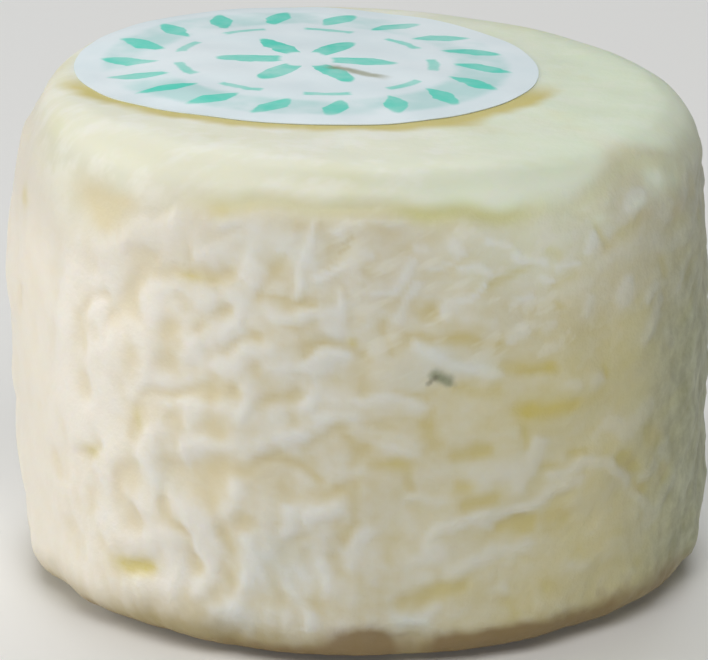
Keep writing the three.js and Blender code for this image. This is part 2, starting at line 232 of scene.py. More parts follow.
grooves = [
    # upper left
    (2, 1, (233.8, 33.9), (233.4, 32.9)), (0.7, 0.6, (236, 33.2), (240, 33.3)),
    (1.6, 0.8, (230.3, 31), (229.6, 29.9)), (1.1, 0.4, (225, 30), (222, 29.4), (219.4, 28.2)),
    (0.7, 0.7, (226.5, 28.6), (224.2, 27)), (0.6, 0.9, (238, 28), (237.6, 25.5)),
    (0.6, 0.7, (232.3, 26), (232.2, 24.3)), (0.6, 0.36, (237.8, 38.9), (236.8, 37.8)),
    (1, 0.5, (240, 33.4), (243, 33.4), (246, 33.7), (250, 34.3)),
    (0.6, 0.4, (249, 31), (247.5, 30.4), (244.7, 29.7), (242.5, 28.5)),
    (1.1, 0.5, (234, 22.9), (236.5, 23), (240, 23.4), (244, 23.8), (247.5, 24), (250, 24.4)),
    (1.4, 0.55, (232.8, 21.4), (231.8, 18.8)), (0.7, 0.6, (239.5, 28.8), (240.2, 27.7)),
    (1.3, 0.6, (218.9, 27.6), (219.1, 26.8)), (1.3, 0.6, (219.6, 25.7), (220, 25.2)),
    (1.4, 0.8, (219.8, 22.5), (220, 21.7)), (1, 0.6, (197.2, 26.6), (197.2, 26)),
    # lower left
    (1, 0.45, (223.3, 17), (220.5, 15.9), (218, 15.6)), (1, 0.6, (210.9, 14.3), (212, 13.1)),
    (0.8, 0.7, (220.6, 11.9), (221, 11.4)), (0.7, 0.6, (222.6, 8.6), (222.7, 8.2)),
    (0.6, 0.8, (213.4, 8.6), (214, 7.2)), (1.8, 1, (231, 15.5), (229.6, 15.3)),
    (1.3, 1, (230.4, 11.5), (231.6, 11.1)), (0.8, 0.7, (228, 14.8), (227.6, 12.5), (227.8, 11)),
    (1.1, 0.9, (238.4, 16.6), (240.2, 16.4)), (1, 0.8, (245.6, 20.9), (246.4, 20.9)),
    (0.7, 0.6, (236, 21.6), (239, 21.4)), (1.8, 1.2, (246.6, 16), (247.4, 17), (249.5, 18.1)),
    (0.8, 0.7, (226.3, 6.4), (229.3, 6.9), (232.8, 7.5)),
    (0.7, 0.7, (247.8, 11.8), (249, 10.2), (248, 7.6), (246.3, 5.8)),
    (0.9, 0.4, (236.6, 13.6), (238.3, 12.2), (241.8, 11.2), (243, 8.8), (242.4, 8)),
    (0.9, 0.7, (240, 6), (240.8, 4.9)),
    # upper middle
    (0.7, 0.36, (258, 36), (256.3, 34.8), (254.6, 33.2), (253.8, 32.4)),
    (0.6, 0.34, (264.8, 35.4), (266.5, 36.3), (268.2, 37.6)),
    (0.7, 0.4, (255, 32.5), (258.7, 32.4), (262.4, 32.2)),
    (0.9, 0.4, (258.6, 30.1), (260.5, 30), (263, 30.4)),
    (1, 0.45, (248, 27.7), (250.4, 28.5), (253, 29.2)),
    (1, 0.4, (261.5, 28.4), (265, 28.7), (268, 28.8), (270.3, 28.2)),
    (0.7, 0.4, (274.5, 31), (274.2, 29.8), (275, 28.7)),
    (0.7, 0.5, (277.4, 29.5), (280.2, 29.5), (283.8, 29.3)), (0.6, 0.8, (270, 26.9), (271.3, 25.2)),
    (1, 0.6, (256.4, 24), (258.2, 24), (260, 24.5)),
    (0.6, 0.4, (275.2, 24.9), (277.8, 24.6), (280, 24.6)), (0.8, 0.6, (247.5, 25), (250, 24.6)),
    # lower middle
    (0.8, 0.4, (253.2, 18.9), (258.7, 18.8), (261, 18.6), (262.3, 18), (263.4, 17.3)),
    (0.9, 0.55, (261, 20.3), (263, 20.9), (266.5, 21.4), (270.9, 20.5), (270, 19.5), (268.7, 18.7)),
    (1.1, 0.6, (272, 18.9), (275, 18.7), (277, 18), (278.3, 16.6)),
    (0.9, 0.5, (266.5, 16.6), (269, 16.6), (269.4, 15.2), (269.4, 13.6), (267.6, 11.8)),
    (0.7, 0.9, (257.5, 17), (259.5, 16)), (0.8, 0.8, (250.6, 13.2), (251.4, 13.2)),
    (0.3, 0.8, (254.3, 6.6), (258, 6.3)), (0.8, 0.9, (277, 6.2), (280, 6.4), (283, 7.6), (285.6, 7.9)),
    (0.35, 0.6, (258.8, 11), (261, 12.2)),
    # upper right
    (1.1, 0.45, (291.5, 33.5), (295, 34.5), (298, 34.9)), (0.5, 0.7, (302, 35.8), (304, 35.4)),
    (0.5, 0.6, (302.5, 33), (306.5, 33.4)), (0.5, 0.5, (303.2, 31.4), (303.8, 31.2)),
    (0.6, 0.6, (293.5, 26.5), (298, 26), (302, 26)), (0.9, 0.6, (285, 29.2), (289, 28.9), (293, 29)),
    (0.9, 0.8, (280.5, 23), (281.5, 21)), (1, 0.6, (285.5, 19.1), (288.5, 19.5), (291, 19.4)),
    (0.9, 0.7, (280, 31.4), (281.6, 31.5)), (0.8, 0.6, (286, 24.9), (292, 24.7)),
    (0.8, 0.6, (311.6, 37.4), (313.5, 35.2)), (0.5, 0.9, (315, 35.5), (318, 36.3), (322, 37.3)),
    (0.6, 0.8, (328.5, 32.5), (329, 31.3)), (0.7, 0.9, (333, 36.5), (334, 35.5)),
    (0.8, 0.5, (312.6, 24.7), (313.6, 24.5)), (0.6, 0.8, (296, 22.8), (300, 22.2), (306, 22.1)),
    # lower right
    (0.5, 0.5, (296.5, 21), (297.4, 18.9)), (0.6, 0.6, (301, 17.3), (303.2, 17)),
    (0.5, 0.5, (306, 18), (309, 17.7)), (0.7, 0.7, (286, 16.5), (287.1, 16.4)),
    (1.2, 0.7, (286.5, 14.6), (289, 15), (291.5, 15)),
    (1.1, 0.7, (291.5, 12.2), (295.5, 12.6), (299, 12.4)), (0.6, 1.1, (303, 12.7), (304.8, 12.2)),
    (1.2, 0.7, (316.8, 16.3), (320.5, 15)), (1.2, 0.6, (320.4, 13.3), (323.6, 12.4)),
    (1.2, 0.7, (328.2, 13.8), (330.5, 12.9)), (1.2, 0.9, (324.5, 17.4), (327, 16.4)),
    (0.5, 0.8, (295.4, 5.4), (296, 4.2)), (0.4, 0.8, (301.5, 7), (302.5, 6)),
]

# Tinted places are given like the swellings, with the strength of the tint for how far out.
# First the golden moist hollows.
goldPlaces = [
    (229, 7, 1.3, 1.7, 0.7), (232.5, 7.5, 0.8, 1.2, 0.6), (302.5, 22.3, 0.9, 3, 0.7),
    (297.5, 22.6, 0.8, 1.2, 1.1), (297.5, 26.2, 0.7, 1.6, 0.6), (301.6, 26, 0.7, 0.6, 0.6),
    (243, 33.4, 0.7, 1.7, 0.4), (221, 16.3, 0.6, 1.2, 0.6), (232, 20.3, 0.7, 0.5, 0.9),
    (283, 7.4, 0.4, 3, 1), (287, 16.4, 0.5, 0.9, 0.5), (268.9, 29.2, 0.8, 0.4, 0.4),
    (276, 18.9, 0.5, 1.3, 0.5), (247, 39, 0.5, 1.2, 0.7), (196, 34.5, 0.6, 0.9, 0.9),
]

# Brown painted shade at the foot, where its rim lifts off the floor.
footShadePlaces = [
    (270.4, 1.8, 1.6, 3, 2.3), (257, 0.9, 1.1, 5.5, 1.3), (289, 1.4, 1.5, 4.2, 1.7),
    (299, 1.6, 1.1, 3.5, 1.6), (312, 1.8, 0.8, 6, 1.7), (320, 3.4, 0.3, 4.5, 2),
    (336, 2.5, 0.7, 6, 2.5), (235, 1, 0.8, 5.5, 1.1), (214, 1.4, 0.7, 5, 1.2),
]

# The hollow at the upper left.
strawPlaces = [
    (219.5, 37.7, 0.7, 3.2, 1.9), (224.5, 37.2, 0.8, 2.6, 1.5), (223.5, 35.8, 0.6, 1.5, 0.8),
    (229, 38.2, 0.6, 1.5, 0.7),
]

# Dull folds at the right.
tanPlaces = [
    (323.5, 37.1, 0.8, 1.6, 0.7), (334.5, 36.4, 0.8, 1.8, 1), (313.5, 35.4, 0.6, 1.3, 0.7),
    (318.7, 15.6, 0.6, 1.2, 0.7), (322, 12.8, 0.7, 1.2, 0.6), (329.4, 13.3, 0.7, 1.2, 0.7),
    (326, 17, 0.6, 1.3, 0.9), (304.5, 12.6, 0.5, 1.4, 0.7),
]

# Lumps of the cap's skin that have slipped down at the right.
lipLumps = [
    (321.5, 38.5, 0.5, 1.2, 0.5), (328, 40, 1, 1.6, 1.4), (334.5, 39.6, 0.7, 1.9, 1.6),
    (312, 38, 0.5, 1, 0.6),
]

# Pale bloom.
palePlaces = [
    (282, 28.2, 0.5, 2.2, 0.8), (287, 26.8, 0.5, 3, 0.8), (278, 26.2, 0.4, 1.6, 1.2),
    (257, 9.6, 0.5, 3.2, 3), (250, 4.2, 0.5, 3, 1.5), (278.5, 4.4, 0.6, 1.8, 1.2),
    (257, 36.6, 0.35, 3.2, 1.6), (236.5, 15.6, 0.3, 2.2, 1.8),
]

fine = {
    "streakHeight": 0.03,    # slanting streaks, stronger to the right
    "streakLength": 1.7,
    "wormHeight": 0.04,      # upright strands, stronger to the left and low down
    "wormLength": 2.1,
    "grainHeight": 0.01,
    "grainLength": 0.95,
    "capHeight": 0.05,       # soft unevenness of the cap
    "capLength": 7.0,
    "flakeHeight": 0.012,
    "flakeLength": 2.6,
    "flakesFrom": 18.0,      # mm from the axis
}


def smooth(low, high, value):
    share = np.clip((value - low) / (high - low), 0, 1)
    return share * share * (3 - 2 * share)


def bell(offset, halfSize):
    return np.exp(-(offset / halfSize) ** 2)


def turnBetween(start, end):
    away = end - start
    return away - 2 * np.pi * np.round(away / (2 * np.pi))


def degreesFrom(heading, turn):
    return np.degrees(turnBetween(math.radians(heading), turn))


def draw(index, seed):
    value = math.sin(index * 12.9898 + seed * 78.233) * 43758.5453
    return value - math.floor(value)


# Waves of nearly one length, fanned out about a heading, closing on themselves round the drum.
def ripples(turn, level, length, heading, fan, count, seed):
    total = 0
    for i in range(count):
        angle = heading + fan * ((2 * i + 1) / count - 1)
        pace = 2 * math.pi / length * (1 + 0.3 * (2 * draw(i, seed) - 1))
        timesRound = math.floor(pace * math.cos(angle) * drum["shoulderRadius"] + 0.5)
        phase = 2 * math.pi * draw(i, seed + 5)
        total = total + np.cos(timesRound * turn + pace * math.sin(angle) * level + phase)
    return total / math.sqrt(count)


def everyWay(turn, level, length, seed):
    return ripples(turn, level, length, math.pi / 4, math.pi / 2, 11, seed)


def wallParts(turn, level):
    toFront = degreesFrom(rind["frontHeading"], turn)
    left = 1 - smooth(*rind["leftSpan"], toFront)
    right = smooth(*rind["rightSpan"], toFront)
    behind = smooth(*rind["behindSpan"], np.abs(toFront))
    low = 1 - smooth(*rind["lowSpan"], level)
    return left + behind * (0.5 - left), right + behind * (0.5 - right), low


def drifted(turn, level):
    sideways = rind["driftSideways"] * everyWay(turn, level, rind["driftLength"], 31)
    upwards = rind["driftUpwards"] * everyWay(turn, level, rind["driftLength"], 36)
    sway = rind["sway"] * np.sin(2 * (turn + sideways) + math.radians(rind["swayHeading"]))
    return turn + sideways, level + upwards, sway


def calmed(turn):
    far = degreesFrom(rind["smoothHeading"], turn)
    return 1 - rind["smoothShare"] * bell(far, rind["smoothHalfWidth"])


def foldHeight(turn, level):
    left, right, low = wallParts(turn, level)
    along, up, sway = drifted(turn, level)
    ringLike = ripples(along, up - sway, rind["ringLength"], math.pi / 2, 0.6, 15, 2)
    upright = ripples(along, up, rind["uprightLength"], 0.05, 0.7, 15, 9)
    rings = 1 - 0.45 * left
    uprights = 0.45 + 0.75 * left - 0.25 * right + 0.5 * low
    mixed = (rings * ringLike + uprights * upright) / np.hypot(rings, uprights)
    blunt = np.tanh(rind["sharpness"] * mixed + rind["fullness"])
    shown = inSpan(turn, strokes["shownFrom"], strokes["shownTo"], strokes["shownFade"])
    calm = calmed(turn) * (1 - (1 - strokes["foldsLeft"]) * shown)
    return rind["foldHeight"] * calm * (1 + 0.15 * left - 0.3 * right) * blunt


def belowCrease(turn, level):
    waver = rind["creaseWaver"] * np.cos(4 * (turn - math.radians(rind["creaseHeading"])))
    waver = waver + rind["creaseNibble"] * everyWay(turn, 0, rind["nibbleLength"], 21)
    aside = degreesFrom(rind["skirtHeading"], turn)
    skirt = rind["skirtDrop"] * bell(aside, rind["skirtHalfWidth"])
    aside = degreesFrom(rind["climbHeading"], turn)
    climb = rind["climbRise"] * bell(aside, rind["climbHalfWidth"])
    return rind["creaseLevel"] + waver - skirt + climb - level


def sumOfBells(turn, level, places):
    total = 0
    for heading, height, out, halfWidth, halfHeight in places:
        aside = turnBetween(math.radians(heading), turn) * drum["shoulderRadius"]
        total = total + out * bell(aside, halfWidth) * bell(level - height, halfHeight)
    return total


def distanceToLine(across, up, start, end):
    runAcross, runUp = end[0] - start[0], end[1] - start[1]
    along = (across - start[0]) * runAcross + (up - start[1]) * runUp
    share = np.clip(along / (runAcross ** 2 + runUp ** 2), 0, 1)
    return np.hypot(across - start[0] - share * runAcross, up - start[1] - share * runUp)


# One kind of strokes, each a soft rounded line along its path.
def pressed(turn, level, kind):
    wobble, length = strokes["wobble"], strokes["wobbleLength"]
    aside = wobble * everyWay(turn, level, length, 91)
    up = level + wobble * everyWay(turn, level, length, 96)
    left, right = wallParts(turn, level)[:2]
    upper = strokes["slimmerUpperRight"] * smooth(*strokes["upperSpan"], level)
    width = 1 + strokes["widerLeft"] * left - right * (strokes["slimmerRight"] + upper)
    total = 0
    for strength, halfWidth, *path in kind:
        first = math.radians(path[0][0])
        across = turnBetween(first, turn) * drum["shoulderRadius"] + aside
        places = [((math.radians(heading) - first) * drum["shoulderRadius"], height)
                  for heading, height in path]
        nearest = np.inf
        for start, end in zip(places, places[1:]):
            nearest = np.minimum(nearest, distanceToLine(across, up, start, end))
        total = total + strength * bell(nearest, halfWidth * width)
    return np.tanh(total)


def strokeHeight(turn, level):
    left = wallParts(turn, level)[0]
    raised = strokes["ridgeHeight"] * pressed(turn, level, ridges)
    sunk = strokes["grooveDepth"] * pressed(turn, level, grooves)
    return (strokes["height"] + strokes["higherLeft"] * left) * (raised - sunk)


# 1 inside a span of degrees, 0 outside it, with soft ends.
def inSpan(turn, start, end, fade):
    middle, half = math.radians((start + end) / 2), (end - start) / 2
    away = np.abs(np.degrees(turnBetween(middle, turn)))
    return 1 - smooth(half - fade, half + fade, away)


def creaseStrength(turn):
    return sum(inSpan(turn, start, end, rind["creaseFade"]) for start, end in rind["creaseSpans"])


# The soft fold under the cap's edge at the right.
def lipShare(turn, level):
    below = belowCrease(turn, level) - rind["lipBelow"]
    return inSpan(turn, *rind["lipSpan"], rind["lipFade"]) * bell(below, rind["lipHalfWidth"])


def onWall(turn, level):
    return smooth(0, rind["fade"], belowCrease(turn, level)) * smooth(0, rind["fade"], level)


# The solid's own relief: folds, lumps, the crease and the swellings.
def coarseRelief(turn, level, radius):
    broad = everyWay(turn, level, rind["lumpLength"], 41)
    wrinkled = (0.8 + 0.3 * np.tanh(broad)) * foldHeight(turn, level) + rind["lumpHeight"] * broad
    below = belowCrease(turn, level)
    groove = rind["creaseDepth"] * creaseStrength(turn) * bell(below, rind["creaseHalfWidth"])
    groove = groove + rind["lipDepth"] * lipShare(turn, level)
    capRadius = drum["shoulderRadius"] - drum["shoulderWidth"]
    outward = smooth(rind["capReliefFrom"] * capRadius, capRadius, radius)
    return outward * (onWall(turn, level) * wrinkled - groove + sumOfBells(turn, level, swells))


# The finer strands and streaks that lie over the folds.
def fineRelief(turn, level):
    left, right, low = wallParts(turn, level)
    along, up, sway = drifted(turn, level)
    streaks = ripples(along, up - sway, fine["streakLength"], math.pi / 2 + 0.25, 0.6, 15, 17)
    worms = ripples(along, up, fine["wormLength"], 0.1, 0.6, 15, 23)
    grain = everyWay(along, up, fine["grainLength"], 61)
    streakHeight = fine["streakHeight"] * (0.4 + 0.6 * right)
    wormHeight = fine["wormHeight"] * np.clip(0.3 + 0.5 * left + 0.6 * low - 0.2 * right, 0, 1)
    relief = streakHeight * np.tanh(1.2 * streaks) + wormHeight * np.tanh(1.2 * worms)
    return onWall(turn, level) * calmed(turn) ** 2 * (relief + fine["grainHeight"] * grain)


# Soft lumps alike in every direction of space.
def lumpy(x, y, z, length, count, seed):
    total = 0
    for i in range(count):
        rise = 2 * (i + 0.5) / count - 1
        heading = 2 * math.pi * draw(i, seed)
        flat = math.sqrt(1 - rise ** 2)
        along = flat * math.cos(heading) * x + flat * math.sin(heading) * y + rise * z
        pace = 2 * math.pi / length * (0.8 + 0.4 * draw(i, seed + 3))
        total = total + np.cos(pace * along + 2 * math.pi * draw(i, seed + 6))
    return total / math.sqrt(count)


# The cap's skin: soft lumps, and flakes that lie along the lip.
def capRelief(x, y, level):
    turn, radius = np.arctan2(y, x), np.hypot(x, y)
    lumps = lumpy(x, y, level, fine["capLength"], 24, 83)
    inward = level + drum["shoulderRadius"] - radius
    flakes = ripples(turn, inward, fine["flakeLength"], math.pi / 2 - 0.25, 0.5, 15, 47)
    flaky = smooth(fine["flakesFrom"], drum["shoulderRadius"] - drum["shoulderWidth"], radius)
    return fine["capHeight"] * lumps + fine["flakeHeight"] * flaky * np.tanh(1.5 * flakes)


def clearSelection():
    if bpy.context.object and bpy.context.object.mode != "OBJECT":
        bpy.ops.object.mode_set(mode="OBJECT")
    bpy.ops.object.select_all(action="DESELECT")


def makeActive(piece):
    clearSelection()
    piece.select_set(True)
    bpy.context.view_layer.objects.active = piece


def applyModifier(piece, kind, **settings):
    makeActive(piece)
    modifier = piece.modifiers.new(kind.title(), kind)
    for name, value in settings.items():
        setattr(modifier, name, value)
    bpy.ops.object.modifier_apply(modifier=modifier.name)


def coordinates(piece):
    flat = np.empty(len(piece.data.vertices) * 3)
    piece.data.vertices.foreach_get("co", flat)
    return flat.reshape(-1, 3) / mm


# Displaces by a height in mm for each vertex, painted as weights between its lowest and highest.
def displaceBy(piece, heights, direction):
    low, high = float(heights.min()), float(heights.max())
    if low != 0:
        applyModifier(piece, "DISPLACE", direction=direction, mid_level=0, strength=low * mm)
    paint = piece.vertex_groups.new(name="height")
    for index, weight in enumerate((heights - low) / (high - low)):
        paint.add([index], float(weight), "REPLACE")
    applyModifier(piece, "DISPLACE", direction=direction, mid_level=0,
                  strength=(high - low) * mm, vertex_group="height")
    piece.vertex_groups.clear()


def storeAttribute(piece, name, values):
    attribute = piece.data.attributes.new(name, "FLOAT", "POINT")
    attribute.data.foreach_set("value", values.astype(np.float32))


# Radius and level of the drum's outline, from the middle of the foot to the middle of the cap.
def drumOutline():
    points = [(0, 0)] + [(radius, 0) for radius in drum["footRings"]]
    for share in np.linspace(0, 1, drum["footSteps"])[:-1]:
        angle = share * math.pi / 2
        points.append((drum["footRadius"] - drum["footWidth"] * (1 - math.sin(angle)),
                       drum["footRise"] * (1 - math.cos(angle))))
    taper = drum["shoulderRadius"] - drum["footRadius"]
    wallTop = drum["height"] - drum["shoulderRise"]
    for share in np.linspace(0, 1, drum["wallSteps"])[:-1]:
        points.append((drum["footRadius"] + taper * share + drum["bulge"] * math.sin(math.pi * share),
                       drum["footRise"] + (wallTop - drum["footRise"]) * share))
    capRadius = drum["shoulderRadius"] - drum["shoulderWidth"]
    for share in np.linspace(0, 1, drum["shoulderSteps"]):
        angle = share * math.pi / 2
        reach = (1 - math.sin(angle) ** 2) ** (1 / drum["shoulderPower"])
        points.append((capRadius + drum["shoulderWidth"] * reach,
                       wallTop + drum["shoulderRise"] * math.sin(angle)))
    for share in drum["capRings"]:
        points.append((capRadius * share, drum["height"] + drum["dome"] * (1 - share ** 2)))
    return points


def makeCheese():
    # one vertex, extruded along the outline and spun about the axis
    clearSelection()
    bpy.ops.mesh.primitive_plane_add(size=mm)
    cheese = bpy.context.object
    cheese.name = "wrinkledCheese"
    bpy.ops.object.mode_set(mode="EDIT")
    bpy.ops.mesh.select_all(action="SELECT")
    bpy.ops.mesh.merge(type="CENTER")
    outline = drumOutline()
    for start, end in zip(outline, outline[1:]):
        move = ((end[0] - start[0]) * mm, 0, (end[1] - start[1]) * mm)
        bpy.ops.mesh.extrude_region_move(TRANSFORM_OT_translate={"value": move})
    bpy.ops.mesh.select_all(action="SELECT")
    bpy.ops.mesh.spin(steps=drum["spinSteps"], angle=2 * math.pi, center=(0, 0, 0), axis=(0, 0, 1))
    bpy.ops.mesh.select_all(action="SELECT")
    bpy.ops.mesh.remove_doubles(threshold=drum["weld"] * mm)
    bpy.ops.mesh.normals_make_consistent(inside=False)
    bpy.ops.object.mode_set(mode="OBJECT")
    applyModifier(cheese, "SUBSURF", levels=drum["subdivisions"], render_levels=drum["subdivisions"])
    print("drum spun:", len(cheese.data.vertices), "vertices")

    # the rind's relief, coarse and then fine, along the normals
    x, y, level = coordinates(cheese).T
    turn, radius = np.arctan2(y, x), np.hypot(x, y)
    coarse = coarseRelief(turn, level, radius) * smooth(0, 1, level)
    displaceBy(cheese, coarse, "NORMAL")
    drawn = onWall(turn, level) * strokeHeight(turn, level)
    delicate = drawn + fineRelief(turn, level)
    # the cap's edge fades where no crease or fold marks it
    marked = creaseStrength(turn) + inSpan(turn, *rind["lipSpan"], rind["lipFade"])
    blurred = rind["capBlur"] * (1 - np.clip(marked, 0, 1))
    skinEnds, wallStarts = rind["capEdge"]
    below = belowCrease(turn, level)
    capShare = 1 - smooth(skinEnds - blurred, wallStarts + blurred, below)
    capShare = np.maximum(capShare, np.clip(sumOfBells(turn, level, lipLumps), 0, 1))
    displaceBy(cheese, delicate + capShare * capRelief(x, y, level), "NORMAL")
    x, y, height = coordinates(cheese).T
    slope = -math.tan(math.radians(drum["capTilt"]))
    displaceBy(cheese, slope * x * (height / drum["height"]) ** 2, "Z")
    tuck = 1 - np.clip(level / drum["footRise"], 0, 1)
    tucked = (1 - np.sqrt(1 - tuck ** 2)) * smooth(*rind["footWaverSpan"], radius)
    inwards = -rind["footWaver"] * everyWay(turn, 0, rind["footWaverLength"], 71) * tucked
    displaceBy(cheese, inwards * np.cos(turn), "X")
    displaceBy(cheese, inwards * np.sin(turn), "Y")

    # what the finish reads: how high on a fold, how far up the cap, how near the crease, and tints
    folds = onWall(turn, level) * foldHeight(turn, level)
    right = wallParts(turn, level)[1]
    fold = (1 - 0.4 * right) * folds + (1 + 0.7 * right) * drawn + (1 - 0.5 * right) * (delicate - drawn)
    storeAttribute(cheese, "foldShare", np.clip(rind["foldMiddle"] + fold / rind["foldRange"], 0, 1))
    storeAttribute(cheese, "capShare", capShare)
    least = rind["yellowElsewhere"]
    yellowed = least + (1 - least) * inSpan(turn, *rind["yellowSpan"], rind["yellowFade"])
    yellowed = creaseStrength(turn) * yellowed
    near = bell(below - rind["yellowBelow"], rind["yellowHalfWidth"])
    storeAttribute(cheese, "creaseShare", yellowed * near)
    storeAttribute(cheese, "lipShare", lipShare(turn, level))
    tinted = {"goldShare": goldPlaces, "strawShare": strawPlaces, "tanShare": tanPlaces,
              "paleShare": palePlaces, "footShadeShare": footShadePlaces}
    for name, places in tinted.items():
        storeAttribute(cheese, name, np.clip(sumOfBells(turn, level, places), 0, 1))
    makeActive(cheese)
    bpy.ops.object.shade_smooth()
    print("rind displaced:", len(cheese.data.polygons), "faces")
    return cheese


label = {
    "radius": 20.0,
    "thickness": 0.07,
    "centre": (-4.6, 4.2),
    "gap": 0.0,
    "lift": 0.02,            # the front edge is a little loose
    "liftHeading": 285,
    "liftFrom": 0.6,         # of the radius
    "vertices": 160,
    "rings": 30,
    "ringsReach": 0.96,      # of the radius, from the rim inwards
    "dropFrom": 60,          # the flat disc starts above the cap
    "sharpAngle": 40,
}


def makeLabel(cheese):
    clearSelection()
    centre = (label["centre"][0] * mm, label["centre"][1] * mm, label["dropFrom"] * mm)
    bpy.ops.mesh.primitive_circle_add(vertices=label["vertices"], radius=label["radius"] * mm,
                                      fill_type="NGON", location=centre)
    paper = bpy.context.object
    paper.name = "roundLabel"
    bpy.ops.object.transform_apply(location=True, rotation=True, scale=True)
    bpy.ops.object.mode_set(mode="EDIT")
    bpy.ops.mesh.select_all(action="SELECT")
    for _ in range(label["rings"]):
        bpy.ops.mesh.inset(thickness=label["radius"] * mm * label["ringsReach"] / label["rings"])
    bpy.ops.mesh.poke()
    bpy.ops.object.mode_set(mode="OBJECT")
    # lay it on the cap, then lift the loose edge and give it thickness
    applyModifier(paper, "SHRINKWRAP", target=cheese, wrap_method="PROJECT", use_project_z=True,
                  use_negative_direction=True, use_positive_direction=False,
                  offset=label["gap"] * mm)
    x, y = coordinates(paper).T[:2]
    dx, dy = x - label["centre"][0], y - label["centre"][1]
    share = np.hypot(dx, dy) / label["radius"]
    heading = np.arctan2(dy, dx) - math.radians(label["liftHeading"])
    lift = label["lift"] * np.clip(np.cos(heading), 0, 1) ** 2 * smooth(label["liftFrom"], 1, share)
    displaceBy(paper, lift, "Z")
    applyModifier(paper, "SOLIDIFY", thickness=label["thickness"] * mm, offset=1)
    makeActive(paper)
    bpy.ops.object.shade_smooth_by_angle(angle=math.radians(label["sharpAngle"]))
    print("label laid:", len(paper.data.polygons), "faces")
    return paper


# One socket of a node tree: arithmetic on wires adds Math nodes.
class Wire:
    def __init__(self, tree, socket=None):
        self.tree = tree
        self.socket = socket

    def node(self, kind, settings=None, inputs=None, output=0):
        made = self.tree.nodes.new(kind)
        for name, value in (settings or {}).items():
            setattr(made, name, value)
        for name, value in (inputs or {}).items():
            if isinstance(value, Wire):
                self.tree.links.new(value.socket, made.inputs[name])
            else:
                made.inputs[name].default_value = value
        return Wire(self.tree, made.outputs[output])

    def maths(self, operation, *values):
        return self.node("ShaderNodeMath", {"operation": operation}, dict(enumerate(values)))

    def __add__(self, other):
        return self.maths("ADD", self, other)

    def __sub__(self, other):
        return self.maths("SUBTRACT", self, other)

    def __rsub__(self, other):
        return self.maths("SUBTRACT", other, self)

    def __mul__(self, other):
        return self.maths("MULTIPLY", self, other)

    def __truediv__(self, other):
        return self.maths("DIVIDE", self, other)

    def __pow__(self, other):
        return self.maths("POWER", self, other)

    __radd__ = __add__
    __rmul__ = __mul__

    def between(self, low, high):
        settings = {"interpolation_type": "SMOOTHSTEP"}
        return self.node("ShaderNodeMapRange", settings, {0: self, 1: low, 2: high})

    def noise(self, size, detail=2, roughness=0.5):
        inputs = {"Vector": self, "Scale": 1 / (size * mm), "Detail": detail, "Roughness": roughness}
        return self.node("ShaderNodeTexNoise", None, inputs)

    def mixed(self, first, second):
        inputs = {0: self, 6: first, 7: second}
        return self.node("ShaderNodeMix", {"data_type": "RGBA"}, inputs, 2)

    def attribute(self, name):
        return self.node("ShaderNodeAttribute", {"attribute_name": name}, None, 2)

    # drawn out along a line in the XZ plane
    def slanted(self, degrees, stretch):
        inputs = {"Vector": self, "Rotation": (0, math.radians(degrees), 0), "Scale": (stretch, 1, 1)}
        return self.node("ShaderNodeMapping", {"vector_type": "TEXTURE"}, inputs)

    # mm from a straight line between two places
    def awayFromLine(self, start, end):
        run = [b - a for a, b in zip(start, end)]
        offset = self.vectors("SUBTRACT", self, start)
        share = self.vectors("DOT_PRODUCT", offset, run, output="Value") / sum(r * r for r in run)
        nearest = self.node("ShaderNodeVectorMath", {"operation": "SCALE"},
                            {0: run, "Scale": share.clamped()})
        return self.vectors("DISTANCE", offset, nearest, output="Value") / mm

    def vectors(self, operation, first, second, output=0):
        return self.node("ShaderNodeVectorMath", {"operation": operation}, {0: first, 1: second}, output)

    def clamped(self):
        return self.node("ShaderNodeClamp", None, {"Value": self})

    def parts(self):
        split = self.node("ShaderNodeSeparateXYZ", None, {0: self}).socket.node
        return [Wire(self.tree, split.outputs[axis]) / mm for axis in range(3)]


def colour(red, green, blue):
    linear = []
    for value in (red, green, blue):
        share = value / 255
        linear.append(share / 12.92 if share < 0.04045 else ((share + 0.055) / 1.055) ** 2.4)
    return (*linear, 1)


def newFinish(name, roughness, **constants):
    material = bpy.data.materials.new(name)
    material.use_nodes = True
    tree = material.node_tree
    shader = tree.nodes["Principled BSDF"]
    shader.inputs["Roughness"].default_value = roughness
    for socket, value in constants.items():
        shader.inputs[socket.replace("_", " ")].default_value = value
    place = Wire(tree).node("ShaderNodeTexCoord", None, None, "Object")
    return material, shader, place


def connect(wire, shader, socket):
    wire.tree.links.new(wire.socket, shader.inputs[socket])


